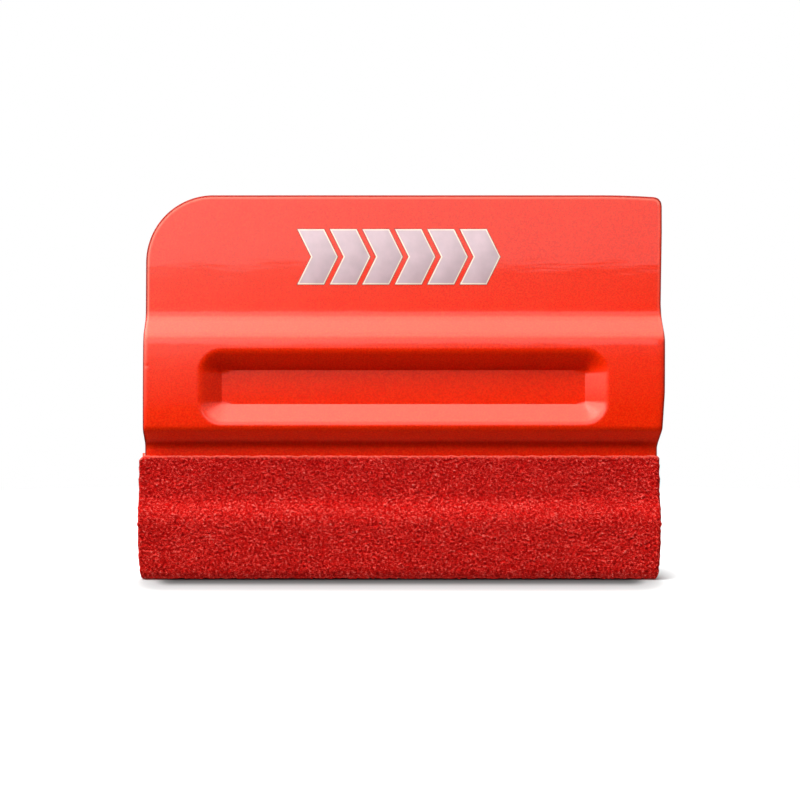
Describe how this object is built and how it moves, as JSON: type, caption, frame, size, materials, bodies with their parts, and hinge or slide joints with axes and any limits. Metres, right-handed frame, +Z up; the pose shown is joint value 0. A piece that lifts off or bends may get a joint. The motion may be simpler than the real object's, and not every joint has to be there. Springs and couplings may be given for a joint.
{
  "type": "magnetic squeegee applicator",
  "caption": "Flat hand squeegee for laying vinyl film: a thin plastic blade, a thick magnetic grip with finger troughs, and a lower lip wrapped in folded suede.",
  "frame": {"origin": "middle of the overall box at its base, under the fold of the suede", "axes": "+X along the blade, +Y from the front face to the back face, +Z up towards the thin blade's edge"},
  "size_m": [0.1006, 0.009, 0.0741],
  "materials": {
    "blade_plastic": "satin moulded polypropylene",
    "magnet_nickel": "nickel-plated magnet",
    "adhesive": "transfer adhesive film",
    "suede": "napped microfibre suede"
  },
  "bodies": {
    "root": {"blade_body": "blade_plastic", "magnet_plug_upper_left": "blade_plastic", "magnet_plug_lower_left": "blade_plastic", "magnet_plug_upper_right": "blade_plastic", "magnet_plug_lower_right": "blade_plastic", "magnet_upper_left": "magnet_nickel", "magnet_lower_left": "magnet_nickel", "magnet_upper_right": "magnet_nickel", "magnet_lower_right": "magnet_nickel", "adhesive_film": "adhesive", "suede_sleeve": "suede"}
  },
  "joints": []
}
